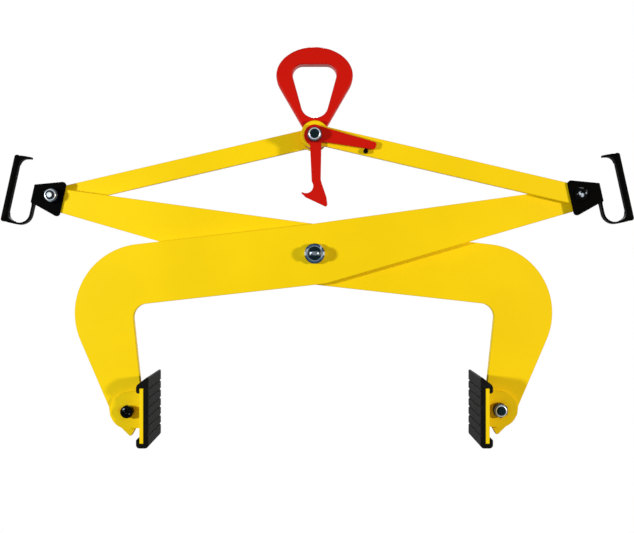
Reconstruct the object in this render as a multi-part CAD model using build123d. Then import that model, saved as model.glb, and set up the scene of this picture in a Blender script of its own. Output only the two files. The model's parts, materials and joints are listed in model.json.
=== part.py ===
from build123d import *
import os
from math import atan, cos, radians, sin, tan

# Block lifting clamp: a scissor grab that hangs from a lifting eye and grips a block between two rubber pads.
# Lengths are in millimetres and angles in degrees.
# The origin is the seat inside the top of the eye's hole. +X is right, +Y away from the viewer, +Z up.

# Linkage: the four pivots stand at the corners of a rhombus
BAR_LENGTH = 390.0
REST_SLOPE = 12.5
EYE_SEAT_HEIGHT = 105.0

# Layers along Y, the same in front and behind
THRUST_GAP = 2.0
THRUST_PLAY = 0.1
ARM_THICKNESS = 10.0
LINK_THICKNESS = 8.0
HOOK_THICKNESS = 6.0
ARM_NEAR = -THRUST_GAP / 2 - ARM_THICKNESS
ARM_FAR = -THRUST_GAP / 2
LINK_NEAR = ARM_NEAR - THRUST_GAP - LINK_THICKNESS
LINK_FAR = ARM_NEAR - THRUST_GAP
HOOK_NEAR = LINK_NEAR - THRUST_GAP - HOOK_THICKNESS
HOOK_FAR = LINK_NEAR - THRUST_GAP

# Fits and edges
RUNNING_PLAY = 0.08
SEATED_PLAY = 0.02
EDGE_BREAK = 0.8
BORE_OVERRUN = 1.0
NEARLY = 0.01

# M12 pivot bolts
BOLT_RADIUS = 6.0
BOLT_END_BREAK = 1.2
BOLT_OVERHANG = 3.0
NUT_FLATS = 19.0
NUT_HEIGHT = 12.0
NUT_HEX_SHARE = 0.66
NUT_COLLAR_RADIUS = 8.7
NUT_COLLAR_ROUND = 2.0
HEX_FACE_SHARE = 0.96
HEX_TURN_OFF = 30.0
WASHER_RADIUS = 10.0
WASHER_THICKNESS = 2.5
HEX_HEAD_HEIGHT = 7.5
BUTTON_RADIUS = 10.5
BUTTON_HEIGHT = 6.6
BUTTON_SOCKET_FLATS = 8.0
BUTTON_SOCKET_DEPTH = 3.3
BUTTON_FLAT_HEIGHT = 6.1
CAP_HEAD_RADIUS = 9.0
CAP_HEAD_HEIGHT = 12.0
CAP_SOCKET_FLATS = 10.0
CAP_SOCKET_DEPTH = 6.0
CAP_HEAD_ROUND = 1.4

# Centre pivot
CENTRE_RADIUS = 10.0
CENTRE_DOME_HEIGHT = 5.0
CENTRE_TIP = -36.0
CENTRE_HEAD_FLATS = 30.0
CENTRE_HEAD_HEIGHT = 12.5
CENTRE_WASHER_RADIUS = 18.5
CENTRE_WASHER_THICKNESS = 3.0
COLLAR_RADIUS = 14.5
COLLAR_LENGTH = 10.0
COLLAR_BREAK = 1.5
ARM_THRUST_RADIUS = 30.0

# Lifting eye, measured from the top pivot
EYE_THICKNESS = 22.0
EYE_HALF_WIDTH = 55.4
EYE_HALF_HEIGHT = 41.1
EYE_CROWN_HEIGHT = 88.8
EYE_FLANK_LEAN = 30.0
EYE_BOSS_RADIUS = 17.0
EYE_BOSS_BLEND = 12.0
EYE_HOLE_TOP_HALF = 36.5
EYE_HOLE_BOTTOM_HALF = 15.3
EYE_HOLE_BOTTOM = 28.0
EYE_HOLE_TOP_ROUND = 15.0
EYE_HOLE_BOTTOM_ROUND = 18.5
EYE_EDGE_ROUND = 2.5

# Links
LINK_HALF_WIDTH = 14.0
LINK_BOSS_RADIUS = 20.0
LINK_BOSS_LIFT = 2.0
LINK_BOSS_BLEND = 8.0
LINK_BAR_LIFT = 0.6
LINK_BAR_LEAN = 0.6
LINK_THRUST_RADIUS = 14.0

# Locking hook, measured from the top pivot
HOOK_BOSS_RADIUS = 15.0
HOOK_THROAT_RADIUS = 10.3
HOOK_THROAT = (-12.2, -72.6)
HOOK_LEVER = [(0, 15.0, 0), (0, -8.0, 0), (85.5, -20.8, 4.5), (89.8, -11.2, 4.0)]
HOOK_SHANK = [(-6.8, -8.0, 0), (-3.7, -74.0, 0), (-13.5, -82.7, 0), (-20.8, -80.9, 0.9), (-12.9, -88.6, 4.0),
              (16.4, -102.4, 1.8), (18.4, -99.0, 1.8), (17.0, -88.9, 8.0), (8.8, -64.5, 20.0), (9.9, -8.0, 0)]
HOOK_CORNER_BLEND = 5.0
HOOK_EDGE_BREAK = 0.5

# Stop screw, measured from the top pivot
STOP_POINT = (73.2, -22.8)
STOP_HEAD_RADIUS = 3.5
STOP_HEAD_HEIGHT = 7.5
STOP_THREAD_RADIUS = 2.0
STOP_SOCKET_FLATS = 3.0
STOP_SOCKET_DEPTH = 2.5
STOP_HEAD_ROUND = 0.8
STOP_END_BREAK = 0.6

# Arms, measured from the centre pivot: leg to the left, handle to the right
ARM_END_REACH = 26.8
ARM_END_TOP = 9.5
ARM_END_BOTTOM = -19.0
ARM_END_ROUND = 10.0
ARM_WAIST_TOP = 43.5
ARM_WAIST_BOTTOM = -45.1
ARM_WAIST_BEND = 16.8
ARM_WAIST_BLEND = 60.0
BAND_TOP_SLOPE = 6.6
BAND_BOTTOM_SLOPE = 6.4
SHOULDER_REACH = 391.4
SHOULDER_ROUND = 100.0
LEG_INNER_REACH = 263.5
LEG_INNER_LEAN = 6.0
LEG_INNER_ROUND = 20.0
LEG_HEEL_DROP = 229.0
LEG_ANKLE_TOP = (-297.0, -221.5)
LEG_ANKLE_BOTTOM = (-295.3, -235.5)
LEG_ANKLE_ROUND = 8.0
LEG_TIP = (-265.4, -265.0)
LEG_TIP_INSIDE = (-258.6, -253.0)
LEG_TIP_ROUND = 3.0
JAW_PIVOT_REACH = 268.0
JAW_PIVOT_DROP = 226.0

# Handles, measured from the handle pivot: first value outward along the arm, second value square to it
SHEET = 3.0
CHEEK_PLAY = 0.5
CHEEK_INNER_REACH = 15.6
CHEEK_INNER_TOP = 24.7
CHEEK_INNER_BOTTOM = -29.9
CHEEK_BACK_TOP = 13.0
CHEEK_BACK_BOTTOM = -18.0
CHEEK_OUTER_TOP = 10.0
CHEEK_OUTER_BOTTOM = -16.0
CHEEK_ROUND = 5.0
STRAP_DEPTH = 10.0
STRAP_NECK_ROUND = 6.0
STRAP_BOTTOM = -52.3
STRAP_TOP = 47.5
STRAP_UPRIGHT = 65.6
STRAP_TIP = 45.6
STRAP_TIP_RISE = 0.8
STRAP_LOWER_BEND = 17.0
STRAP_UPPER_BEND = 8.0
FOLD_ROUND = 1.5
GRIP_INNER = 61.3
GRIP_OUTER = 69.9
GRIP_WEB = 11.6
GRIP_CURVE = 11.0
GRIP_DEPTH = 15.0
GRIP_ROUND = 4.0
GRIP_END_ROUND = 3.5

# Jaws, measured from the jaw pivot: first value toward the block
PLATE_BACK = 22.5
PLATE_THICKNESS = 6.0
PLATE_TOP = 36.5
PLATE_BOTTOM = -41.0
PLATE_HALF_DEPTH = 50.0
EAR_RADIUS = 26.0
EAR_THICKNESS = 6.0
EAR_PLAY = 0.5
EAR_TOP = 30.0
EAR_BOTTOM = -24.0
PAD_FACE = 35.5
PAD_TOP = 54.0
PAD_BACK_TOP = 40.5
PAD_BOTTOM = -47.5
PAD_LIP = 4.5
PAD_LIP_OVERLAP = 7.0
PAD_LIP_ROUND = 8.0
PAD_LIP_END_ROUND = 3.0
PAD_BOTTOM_ROUND = 5.0
PAD_CORNER = 2.0
PAD_EAR_PLAY = 0.5
PAD_GROOVES = 6
PAD_GROOVE_PITCH = 13.0
PAD_GROOVE_WIDTH = 3.0
PAD_GROOVE_DEPTH = 1.2

# Pivots in the X-Z drawing
TOP = Vector(0, -EYE_SEAT_HEIGHT)
HALF_SPAN = BAR_LENGTH * cos(radians(REST_SLOPE))
HALF_RISE = BAR_LENGTH * sin(radians(REST_SLOPE))
CENTRE = TOP - Vector(0, 2 * HALF_RISE)
RIGHT_HANDLE = TOP + Vector(HALF_SPAN, -HALF_RISE)
LEFT_JAW = CENTRE + Vector(-JAW_PIVOT_REACH, -JAW_PIVOT_DROP)


# Shared shapes
def outline(corners):
    """A closed outline through (x, z, rounding) corners."""
    points = [corner[:2] for corner in corners]
    radii = [corner[2] for corner in corners]
    return make_face(FilletPolyline(*points, radius=radii, close=True).edges())


def placed(sketch, point, turn=0.0):
    """A sketch drawn about its own pivot, turned anticlockwise and moved to a point of the X-Z drawing."""
    return Pos(point.X, point.Y) * Rot(0, 0, turn) * sketch


def plate(sketch, near, far):
    """A flat plate with the sketch as its outline in X and Z, between two depths along Y."""
    return extrude(Plane((0, far, 0), x_dir=(1, 0, 0), z_dir=(0, -1, 0)) * sketch, amount=far - near)


def bore(point, radius, near, far):
    """The round bar along Y that is taken away for a bore, a little longer than the plate is thick."""
    return plate(placed(Circle(radius), point), near - BORE_OVERRUN, far + BORE_OVERRUN)


def ring(point, radius, inner_radius, near, far):
    """A washer or tube along Y."""
    return plate(placed(Circle(radius) - Circle(inner_radius), point), near, far)


def rim_edges(body):
    """The edges around the frontmost and rearmost faces of a plate."""
    faces = body.faces().sort_by(Axis.Y)
    return faces[0].edges() + faces[-1].edges()


def facing(point, depth, forward=True):
    """A plane at a depth along Y whose local Z points to the viewer, or away from the viewer."""
    return Plane((point.X, depth, point.Y), x_dir=(1, 0, 0), z_dir=(0, -1 if forward else 1, 0))


def opposite(body):
    """The same piece on the other side, half a turn about the vertical axis."""
    return Rot(0, 0, 180) * body


# Fasteners, built along local Z with the seat at zero
def hexagon(flats):
    """A hexagon with two upright flats."""
    return RegularPolygon(flats / 2, 6, major_radius=False, rotation=30)


def hex_block(flats, height):
    """A hexagonal block whose upper corners are turned off at thirty degrees."""
    corner_radius = flats / 2 / cos(radians(30))
    turn_off = corner_radius - HEX_FACE_SHARE * flats / 2
    blank = extrude(Circle(corner_radius), amount=height)
    blank = chamfer(blank.edges().sort_by(Axis.Z)[-1], turn_off * tan(radians(HEX_TURN_OFF)), turn_off)
    return blank & extrude(hexagon(flats), amount=height)


def lock_nut():
    """A self-locking nut: hexagon below, round collar above."""
    hex_height = NUT_HEIGHT * NUT_HEX_SHARE
    collar = extrude(Circle(NUT_COLLAR_RADIUS), amount=NUT_HEIGHT)
    collar = fillet(collar.edges().sort_by(Axis.Z)[-1], NUT_COLLAR_ROUND)
    thread = extrude(Circle(BOLT_RADIUS + SEATED_PLAY), amount=NUT_HEIGHT)
    return hex_block(NUT_FLATS, hex_height) + collar - thread


def socket(flats, depth, top):
    """The hexagon recess that a key turns, sunk from the top of a head."""
    return Pos(0, 0, top - depth) * extrude(hexagon(flats), amount=depth)


def shank(radius, length, end_break):
    """A bolt shank that hangs below the seat, with a bevelled end."""
    rod = Pos(0, 0, -length) * extrude(Circle(radius), amount=length)
    return chamfer(rod.edges().sort_by(Axis.Z)[0], end_break)


def hex_bolt(length):
    """A hexagon-head bolt with its shank below the seat."""
    return hex_block(NUT_FLATS, HEX_HEAD_HEIGHT) + shank(BOLT_RADIUS, length, BOLT_END_BREAK)


def button_bolt(length):
    """A button-head socket screw: the head is a cap of a sphere cut off flat at its top."""
    cap_radius = (BUTTON_RADIUS**2 + BUTTON_HEIGHT**2) / (2 * BUTTON_HEIGHT)
    dome = Pos(0, 0, BUTTON_HEIGHT - cap_radius) * Sphere(cap_radius)
    blank = extrude(Circle(BUTTON_RADIUS), amount=BUTTON_FLAT_HEIGHT)
    head = (blank & dome) - socket(BUTTON_SOCKET_FLATS, BUTTON_SOCKET_DEPTH, BUTTON_HEIGHT)
    return head + shank(BOLT_RADIUS, length, BOLT_END_BREAK)


def cap_bolt(length):
    """A cap-head socket screw with a rounded rim."""
    head = extrude(Circle(CAP_HEAD_RADIUS), amount=CAP_HEAD_HEIGHT)
    head = fillet(head.edges().sort_by(Axis.Z)[-1], CAP_HEAD_ROUND)
    head = head - socket(CAP_SOCKET_FLATS, CAP_SOCKET_DEPTH, CAP_HEAD_HEIGHT)
    return head + shank(BOLT_RADIUS, length, BOLT_END_BREAK)


def flat_washer(point, near):
    """A plain M12 washer."""
    return ring(point, WASHER_RADIUS, BOLT_RADIUS + RUNNING_PLAY, near, near + WASHER_THICKNESS)


def thrust_washer(point, radius, bolt_radius, near):
    """A thin washer that keeps two moving plates apart, with a little play on both sides."""
    inner_radius = bolt_radius + RUNNING_PLAY
    return ring(point, radius, inner_radius, near + THRUST_PLAY, near + THRUST_GAP - THRUST_PLAY)


# Top pivot
def lifting_eye():
    """A pear-shaped ring plate: elliptical crown, straight flanks, boss around the bolt, trapezoid hole."""
    tangent_turn = atan(tan(radians(EYE_FLANK_LEAN)) * EYE_HALF_HEIGHT / EYE_HALF_WIDTH)
    shoulder_x = EYE_HALF_WIDTH * cos(tangent_turn)
    shoulder_z = EYE_CROWN_HEIGHT - EYE_HALF_HEIGHT * sin(tangent_turn)
    foot_x = shoulder_x - shoulder_z * tan(radians(EYE_FLANK_LEAN))
    crown = Pos(0, EYE_CROWN_HEIGHT) * Ellipse(EYE_HALF_WIDTH, EYE_HALF_HEIGHT)
    flanks = outline([
        (-shoulder_x, shoulder_z, 0),
        (shoulder_x, shoulder_z, 0),
        (foot_x, 0, 0),
        (-foot_x, 0, 0),
    ])
    shape = crown + flanks + Circle(EYE_BOSS_RADIUS)
    waist = [corner for corner in shape.vertices() if 0 < corner.Y < EYE_BOSS_RADIUS]
    shape = fillet(waist, EYE_BOSS_BLEND)
    hole = outline([
        (-EYE_HOLE_TOP_HALF, EYE_SEAT_HEIGHT, EYE_HOLE_TOP_ROUND),
        (EYE_HOLE_TOP_HALF, EYE_SEAT_HEIGHT, EYE_HOLE_TOP_ROUND),
        (EYE_HOLE_BOTTOM_HALF, EYE_HOLE_BOTTOM, EYE_HOLE_BOTTOM_ROUND),
        (-EYE_HOLE_BOTTOM_HALF, EYE_HOLE_BOTTOM, EYE_HOLE_BOTTOM_ROUND),
    ])
    body = plate(placed(shape - hole, TOP), -EYE_THICKNESS / 2, EYE_THICKNESS / 2)
    body = fillet(rim_edges(body), EYE_EDGE_ROUND)
    return body - bore(TOP, BOLT_RADIUS + RUNNING_PLAY, -EYE_THICKNESS / 2, EYE_THICKNESS / 2)


def right_link():
    """A flat bar with a rounded outer end and a larger boss at the top pivot, a little off its bores."""
    straight = Rectangle(BAR_LENGTH, 2 * LINK_HALF_WIDTH)
    straight = straight + Pos(BAR_LENGTH / 2, 0) * Circle(LINK_HALF_WIDTH)
    bar = Pos(BAR_LENGTH / 2, LINK_BAR_LIFT) * Rot(0, 0, -LINK_BAR_LEAN) * straight
    shape = bar + Pos(0, LINK_BOSS_LIFT) * Circle(LINK_BOSS_RADIUS)
    neck = [corner for corner in shape.vertices() if NEARLY < corner.X < LINK_BOSS_RADIUS]
    shape = fillet(neck, LINK_BOSS_BLEND)
    bores = Circle(BOLT_RADIUS + RUNNING_PLAY) + Pos(BAR_LENGTH, 0) * Circle(BOLT_RADIUS + RUNNING_PLAY)
    body = plate(placed(shape - bores, TOP, -REST_SLOPE), LINK_NEAR, LINK_FAR)
    return chamfer(rim_edges(body), EDGE_BREAK)


def stop_point():
    """The stop screw's axis in the X-Z drawing."""
    return TOP + Vector(*STOP_POINT)


def tapped_for_stop(link):
    """The right link with the stop screw's hole."""
    return link - bore(stop_point(), STOP_THREAD_RADIUS + SEATED_PLAY, LINK_NEAR, LINK_FAR)


def hook_stop_screw():
    """A cap screw in the link: the hook's lever rests on its head."""
    head = extrude(Circle(STOP_HEAD_RADIUS), amount=STOP_HEAD_HEIGHT)
    head = fillet(head.edges().sort_by(Axis.Z)[-1], STOP_HEAD_ROUND)
    head = head - socket(STOP_SOCKET_FLATS, STOP_SOCKET_DEPTH, STOP_HEAD_HEIGHT)
    thread = shank(STOP_THREAD_RADIUS, LINK_THICKNESS, STOP_END_BREAK)
    return facing(stop_point(), LINK_NEAR) * (head + thread)


def locking_hook():
    """A bell crank: boss, downward shank with an undercut foot, and a tapered lever to the right."""
    shape = outline(HOOK_LEVER) + outline(HOOK_SHANK) + Circle(HOOK_BOSS_RADIUS)
    shape = shape - Pos(*HOOK_THROAT) * Circle(HOOK_THROAT_RADIUS)
    crook = shape.vertices().sort_by_distance((HOOK_SHANK[-1][0], HOOK_LEVER[1][1], 0))[0]
    shape = fillet(crook, HOOK_CORNER_BLEND)
    shape = shape - Circle(BOLT_RADIUS + RUNNING_PLAY)
    body = plate(placed(shape, TOP), HOOK_NEAR, HOOK_FAR)
    return chamfer(rim_edges(body), HOOK_EDGE_BREAK)


def top_bolt():
    """The bolt that carries eye, links and hook, with its head behind."""
    seat = -LINK_NEAR + WASHER_THICKNESS
    tip = HOOK_NEAR - WASHER_THICKNESS - NUT_HEIGHT - BOLT_OVERHANG
    return facing(TOP, seat, forward=False) * hex_bolt(seat - tip)


def top_nut():
    """The self-locking nut in front of the hook."""
    return facing(TOP, HOOK_NEAR - WASHER_THICKNESS) * lock_nut()


def top_washers():
    """Washers on the top bolt: under the head, under the nut and behind the hook."""
    return [
        flat_washer(TOP, -LINK_NEAR),
        flat_washer(TOP, HOOK_NEAR - WASHER_THICKNESS),
        thrust_washer(TOP, WASHER_RADIUS, BOLT_RADIUS, LINK_NEAR - THRUST_GAP),
    ]


def eye_thrust_washers():
    """The two thin washers between the eye and the links."""
    front = thrust_washer(TOP, EYE_BOSS_RADIUS, BOLT_RADIUS, LINK_FAR)
    return [front, opposite(front)]


# Arms and centre pivot
def arm_outline():
    """The arm's outline about the centre pivot, with the leg to the left and the handle end to the right."""
    along = Vector(cos(radians(REST_SLOPE)), sin(radians(REST_SLOPE)))
    across = Vector(-along.Y, along.X)
    end = along * (BAR_LENGTH + ARM_END_REACH)
    end_top = end + across * ARM_END_TOP
    end_bottom = end + across * ARM_END_BOTTOM
    band_fall = tan(radians(BAND_BOTTOM_SLOPE))
    crotch_z = ARM_WAIST_BOTTOM - LEG_INNER_REACH * band_fall
    shoulder_z = ARM_WAIST_TOP - SHOULDER_REACH * tan(radians(BAND_TOP_SLOPE))
    heel_x = -LEG_INNER_REACH + (LEG_HEEL_DROP + crotch_z) * tan(radians(LEG_INNER_LEAN))
    return outline([
        (end_top.X, end_top.Y, 0),
        (0, ARM_WAIST_TOP, ARM_WAIST_BLEND),
        (-SHOULDER_REACH, shoulder_z, SHOULDER_ROUND),
        (*LEG_ANKLE_TOP, LEG_ANKLE_ROUND),
        (*LEG_ANKLE_BOTTOM, LEG_ANKLE_ROUND),
        (*LEG_TIP, LEG_TIP_ROUND),
        (*LEG_TIP_INSIDE, LEG_TIP_ROUND),
        (heel_x, -LEG_HEEL_DROP, LEG_TIP_ROUND),
        (-LEG_INNER_REACH, crotch_z, LEG_INNER_ROUND),
        (ARM_WAIST_BEND, ARM_WAIST_BOTTOM + ARM_WAIST_BEND * band_fall, ARM_WAIST_BLEND),
        (end_bottom.X, end_bottom.Y, ARM_END_ROUND),
    ])


def blank_arm():
    """The front arm with its handle and jaw bores, before the centre bore."""
    body = plate(placed(arm_outline(), CENTRE), ARM_NEAR, ARM_FAR)
    body = chamfer(rim_edges(body), EDGE_BREAK)
    body = body - bore(RIGHT_HANDLE, BOLT_RADIUS + SEATED_PLAY, ARM_NEAR, ARM_FAR)
    return body - bore(LEFT_JAW, BOLT_RADIUS + RUNNING_PLAY, ARM_NEAR, ARM_FAR)


def with_centre_bore(arm, play):
    """An arm bored for the centre bolt."""
    return arm - bore(CENTRE, CENTRE_RADIUS + play, ARM_NEAR, -ARM_NEAR)


def centre_bolt():
    """The arms' pivot: hexagon head behind, domed end standing proud in the hook's plane."""
    seat = -ARM_NEAR + CENTRE_WASHER_THICKNESS
    cap_radius = (CENTRE_RADIUS**2 + CENTRE_DOME_HEIGHT**2) / (2 * CENTRE_DOME_HEIGHT)
    length = seat - CENTRE_TIP
    rod = Pos(0, 0, -length) * extrude(Circle(CENTRE_RADIUS), amount=length)
    keep = Pos(0, 0, CENTRE_DOME_HEIGHT - length) * extrude(Circle(2 * CENTRE_RADIUS), amount=length)
    dome = Pos(0, 0, cap_radius - length) * Sphere(cap_radius)
    rod = (rod & keep) + (rod & dome)
    return facing(CENTRE, seat, forward=False) * (hex_block(CENTRE_HEAD_FLATS, CENTRE_HEAD_HEIGHT) + rod)


def centre_collar():
    """The round nut that holds the arms together in front."""
    collar = extrude(Circle(COLLAR_RADIUS), amount=COLLAR_LENGTH)
    collar = chamfer(collar.edges().sort_by(Axis.Z)[-1], COLLAR_BREAK)
    collar = collar - extrude(Circle(CENTRE_RADIUS + SEATED_PLAY), amount=COLLAR_LENGTH)
    return facing(CENTRE, ARM_NEAR - THRUST_PLAY) * collar


def centre_washer():
    """The washer under the centre bolt's head."""
    inner_radius = CENTRE_RADIUS + RUNNING_PLAY
    return ring(CENTRE, CENTRE_WASHER_RADIUS, inner_radius, -ARM_NEAR, -ARM_NEAR + CENTRE_WASHER_THICKNESS)


def arm_thrust_washer():
    """The thin washer between the two arms."""
    return thrust_washer(CENTRE, ARM_THRUST_RADIUS, CENTRE_RADIUS, ARM_FAR)


# Right handle
CHEEK_NEAR = LINK_NEAR - CHEEK_PLAY - SHEET
CHEEK_FAR = ARM_FAR + SHEET
CHEEK_MIDDLE = (CHEEK_NEAR + CHEEK_FAR) / 2
STRAP_NEAR = CHEEK_MIDDLE - STRAP_DEPTH / 2
STRAP_FAR = CHEEK_MIDDLE + STRAP_DEPTH / 2
WEB_OUTER = ARM_END_REACH + SHEET


def in_handle(sketch):
    """A sketch drawn about the right handle pivot along the arm."""
    return placed(sketch, RIGHT_HANDLE, REST_SLOPE)


def strap_line():
    """The middle line of the bent strap: web, bottom run, upright and top return."""
    web = ARM_END_REACH + SHEET / 2
    points = [
        (web, CHEEK_OUTER_BOTTOM),
        (web, STRAP_BOTTOM + SHEET / 2),
        (STRAP_UPRIGHT, STRAP_BOTTOM + SHEET / 2),
        (STRAP_UPRIGHT, STRAP_TOP - SHEET / 2),
        (STRAP_TIP, STRAP_TOP - SHEET / 2 + STRAP_TIP_RISE),
    ]
    return FilletPolyline(*points, radius=[STRAP_LOWER_BEND, STRAP_UPPER_BEND, STRAP_UPPER_BEND])


def handle_offsets(edge):
    """An edge's middle from the handle pivot: outward along the arm, and square to it."""
    offset = edge.center() - Vector(RIGHT_HANDLE.X, 0, RIGHT_HANDLE.Y)
    along = Vector(cos(radians(REST_SLOPE)), 0, sin(radians(REST_SLOPE)))
    across = Vector(-along.Z, 0, along.X)
    return offset.dot(along), offset.dot(across)


def is_fold(edge):
    """True for the long outer edges where the cheeks fold back from the web."""
    outward, upward = handle_offsets(edge)
    on_web = abs(outward - WEB_OUTER) < NEARLY and upward > CHEEK_OUTER_BOTTOM + NEARLY
    return on_web and abs(edge.tangent_at(0.5).Y) < NEARLY and edge.length > CHEEK_OUTER_TOP


def is_neck(edge):
    """True for the two short edges in the corners where the strap leaves the web."""
    outward, upward = handle_offsets(edge)
    in_sheet = abs(outward - WEB_OUTER + SHEET / 2) < NEARLY and abs(upward - CHEEK_OUTER_BOTTOM) < NEARLY
    depth = edge.center().Y
    return in_sheet and STRAP_NEAR - NEARLY < depth < STRAP_FAR + NEARLY


def handle_cheek(inner_top, inner_bottom):
    """A cheek's outline, from the web to beyond the handle pivot."""
    cheek = outline([
        (WEB_OUTER, CHEEK_OUTER_TOP, 0),
        (-CHEEK_INNER_REACH, inner_top, CHEEK_ROUND),
        (-CHEEK_INNER_REACH, inner_bottom, CHEEK_ROUND),
        (WEB_OUTER, CHEEK_OUTER_BOTTOM, 0),
    ])
    return in_handle(cheek - Circle(BOLT_RADIUS + SEATED_PLAY))


def right_handle_strap(link_cheek, arm_cheek):
    """One folded sheet: two cheeks around the arm's end, a web and a strap bent round to carry the grip."""
    strap = plate(in_handle(trace(strap_line(), SHEET)), STRAP_NEAR, STRAP_FAR)
    web = outline([
        (ARM_END_REACH, CHEEK_OUTER_TOP, 0),
        (ARM_END_REACH, CHEEK_OUTER_BOTTOM, 0),
        (WEB_OUTER, CHEEK_OUTER_BOTTOM, 0),
        (WEB_OUTER, CHEEK_OUTER_TOP, 0),
    ])
    body = plate(in_handle(web), CHEEK_NEAR, CHEEK_FAR) + strap
    body = fillet([edge for edge in body.edges() if is_neck(edge)], STRAP_NECK_ROUND)
    body = body + plate(link_cheek, CHEEK_NEAR, CHEEK_NEAR + SHEET) + plate(arm_cheek, ARM_FAR, CHEEK_FAR)
    return fillet([edge for edge in body.edges() if is_fold(edge)], FOLD_ROUND)


def grip_web():
    """The outline that fills a bend of the strap beside the grip."""
    corner = Rectangle(GRIP_WEB + SHEET, GRIP_WEB, align=(Align.MIN, Align.MAX))
    return corner - Pos(0, -GRIP_WEB) * Circle(GRIP_CURVE)


def right_handle_grip():
    """A moulded grip: a rounded bar around the strap's upright, with webs that fill the strap's two bends."""
    section = RectangleRounded(GRIP_OUTER - GRIP_INNER, GRIP_DEPTH, GRIP_ROUND)
    bar = extrude(section, amount=STRAP_TOP - STRAP_BOTTOM)
    ends = bar.faces().sort_by(Axis.Z)
    bar = fillet(ends[0].edges() + ends[-1].edges(), GRIP_END_ROUND)
    bar = Pos((GRIP_OUTER + GRIP_INNER) / 2, CHEEK_MIDDLE, STRAP_BOTTOM) * bar
    bar = Pos(RIGHT_HANDLE.X, 0, RIGHT_HANDLE.Y) * Rot(0, -REST_SLOPE, 0) * bar
    upper = Pos(GRIP_INNER - GRIP_WEB, STRAP_TOP - SHEET + STRAP_TIP_RISE) * grip_web()
    lower = Pos(GRIP_INNER - GRIP_WEB, STRAP_BOTTOM + SHEET) * mirror(grip_web(), about=Plane.XZ)
    return bar + plate(in_handle(upper + lower), STRAP_NEAR, STRAP_FAR)


def right_handle_bolt():
    """The handle pivot's button-head bolt, with its head in front."""
    nut_end = CHEEK_FAR + WASHER_THICKNESS + NUT_HEIGHT
    return facing(RIGHT_HANDLE, CHEEK_NEAR) * button_bolt(nut_end + BOLT_OVERHANG - CHEEK_NEAR)


def right_handle_nut():
    """The handle pivot's self-locking nut, behind."""
    return facing(RIGHT_HANDLE, CHEEK_FAR + WASHER_THICKNESS, forward=False) * lock_nut()


def right_handle_washers():
    """The washer under the nut, and the thin one between link and arm."""
    return [
        flat_washer(RIGHT_HANDLE, CHEEK_FAR),
        thrust_washer(RIGHT_HANDLE, LINK_THRUST_RADIUS, BOLT_RADIUS, LINK_FAR),
    ]


# Left jaw
EAR_FRONT_FAR = ARM_NEAR - EAR_PLAY
EAR_FRONT_NEAR = EAR_FRONT_FAR - EAR_THICKNESS
EAR_REAR_NEAR = ARM_FAR + EAR_PLAY
EAR_REAR_FAR = EAR_REAR_NEAR + EAR_THICKNESS
JAW_NUT_SEAT = EAR_REAR_FAR + WASHER_THICKNESS


def in_jaw(sketch):
    """A sketch drawn about the left jaw pivot."""
    return placed(sketch, LEFT_JAW)


def left_jaw_bracket():
    """An upright plate with two ears welded to its back, one on each side of the leg."""
    back = Line((PLATE_BACK, EAR_TOP), (PLATE_BACK, EAR_BOTTOM))
    ear = make_hull([*Circle(EAR_RADIUS).edges(), *back.edges()])
    ear = in_jaw(ear - Circle(BOLT_RADIUS + SEATED_PLAY))
    front = outline([
        (PLATE_BACK, PLATE_BOTTOM, 0),
        (PLATE_BACK + PLATE_THICKNESS, PLATE_BOTTOM, 0),
        (PLATE_BACK + PLATE_THICKNESS, PLATE_TOP, 0),
        (PLATE_BACK, PLATE_TOP, 0),
    ])
    upright = plate(in_jaw(front), -PLATE_HALF_DEPTH, PLATE_HALF_DEPTH)
    upright = chamfer(rim_edges(upright), EDGE_BREAK)
    ears = plate(ear, EAR_FRONT_NEAR, EAR_FRONT_FAR) + plate(ear, EAR_REAR_NEAR, EAR_REAR_FAR)
    return upright + ears


def left_jaw_pad():
    """A rubber shoe: grooved face, bevelled top, and lips that clip behind the plate beside the ears."""
    plate_front = PLATE_BACK + PLATE_THICKNESS
    lip_back = PLATE_BACK - PAD_LIP
    shape = outline([
        (PAD_FACE, PAD_BOTTOM, PAD_BOTTOM_ROUND),
        (PAD_FACE, PAD_TOP, PAD_CORNER),
        (lip_back, PAD_BACK_TOP, PAD_LIP_ROUND),
        (lip_back, PLATE_TOP - PAD_LIP_OVERLAP, PAD_LIP_END_ROUND),
        (PLATE_BACK, PLATE_TOP - PAD_LIP_OVERLAP, 0),
        (PLATE_BACK, PLATE_TOP, 0),
        (plate_front, PLATE_TOP, 0),
        (plate_front, PLATE_BOTTOM, 0),
        (PLATE_BACK, PLATE_BOTTOM, 0),
        (PLATE_BACK, PLATE_BOTTOM + PAD_LIP_OVERLAP, 0),
        (lip_back, PLATE_BOTTOM + PAD_LIP_OVERLAP, PAD_LIP_END_ROUND),
        (lip_back, PAD_BOTTOM, PAD_BOTTOM_ROUND),
    ])
    groove = Rectangle(2 * PAD_GROOVE_DEPTH, PAD_GROOVE_WIDTH)
    middle = (PAD_TOP + PAD_BOTTOM) / 2
    for place in GridLocations(0, PAD_GROOVE_PITCH, 1, PAD_GROOVES):
        shape = shape - Pos(PAD_FACE, middle) * place * groove
    pad = plate(in_jaw(shape), -PLATE_HALF_DEPTH, PLATE_HALF_DEPTH)
    behind_plate = Rectangle(2 * PAD_LIP, PAD_TOP - PAD_BOTTOM, align=(Align.MAX, Align.CENTER))
    passage = in_jaw(Pos(PLATE_BACK, middle) * behind_plate)
    return pad - plate(passage, EAR_FRONT_NEAR - PAD_EAR_PLAY, EAR_REAR_FAR + PAD_EAR_PLAY)


def left_jaw_bolt():
    """The jaw pivot's cap-head bolt, with its head in front."""
    length = JAW_NUT_SEAT + NUT_HEIGHT + BOLT_OVERHANG - EAR_FRONT_NEAR
    return facing(LEFT_JAW, EAR_FRONT_NEAR) * cap_bolt(length)


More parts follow.
